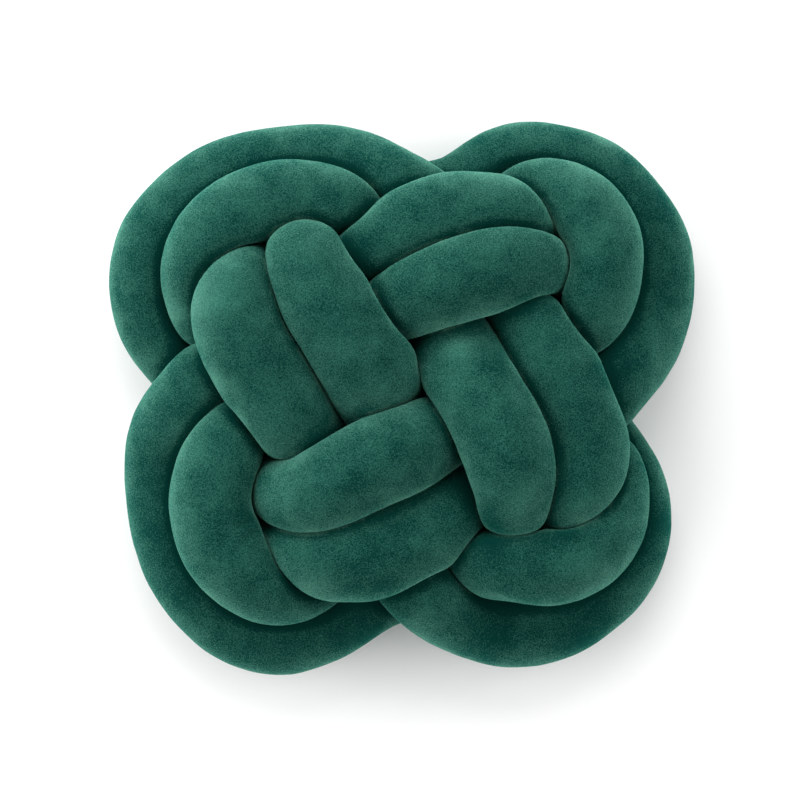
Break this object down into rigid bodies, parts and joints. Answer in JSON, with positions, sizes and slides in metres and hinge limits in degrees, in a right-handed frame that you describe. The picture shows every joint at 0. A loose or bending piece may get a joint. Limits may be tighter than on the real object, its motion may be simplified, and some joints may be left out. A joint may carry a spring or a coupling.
{
  "type": "knot cushion",
  "caption": "Velvet knot cushion: two stuffed tubes laid side by side through a flat basket knot with looped corners.",
  "frame": {"origin": "middle of the cushion's box, on the surface it lies on", "axes": "+X to the right and +Y up as the face is seen from above, +Z out of the face"},
  "size_m": [0.427, 0.4028, 0.1356],
  "materials": {
    "outer_tube": "brushed short-pile velvet, emerald green, with darker seams and nap patches",
    "inner_tube": "brushed short-pile velvet, emerald green, with darker seams and nap patches"
  },
  "bodies": {
    "root": {"outer_tube": "outer_tube", "inner_tube": "inner_tube"}
  },
  "joints": []
}
